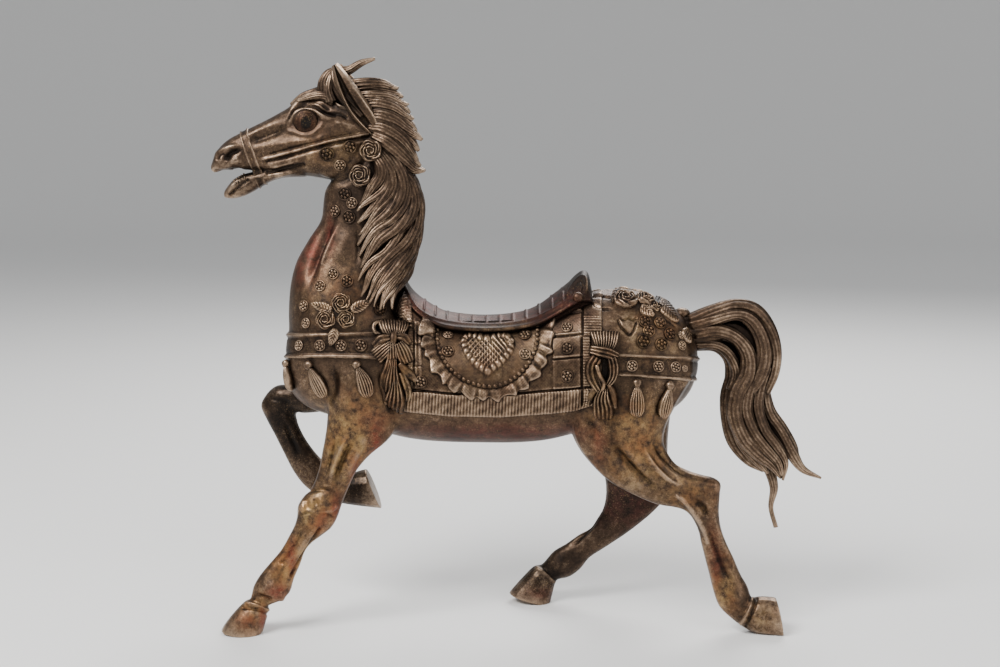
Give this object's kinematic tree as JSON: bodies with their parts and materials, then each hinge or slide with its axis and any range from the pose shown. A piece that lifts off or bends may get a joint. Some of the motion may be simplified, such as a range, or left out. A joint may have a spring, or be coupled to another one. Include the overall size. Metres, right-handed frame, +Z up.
{
  "type": "carousel horse figure",
  "caption": "Cast horse figure in fairground saddle and harness, prancing with one foreleg raised, head up, mouth open, mane and tail blown back, standing on its hooves.",
  "frame": {"origin": "on the ground under the middle of the figure's bounding box", "axes": "-X towards the horse's head, -Y towards its left side, +Z up"},
  "size_m": [0.3808, 0.0874, 0.3529],
  "materials": {
    "bronze": "cast bronze with a brown patina, worn to a coppery gold on the raised parts, with traces of a dark red ground colour"
  },
  "bodies": {
    "root": {"horse": "bronze"}
  },
  "joints": []
}
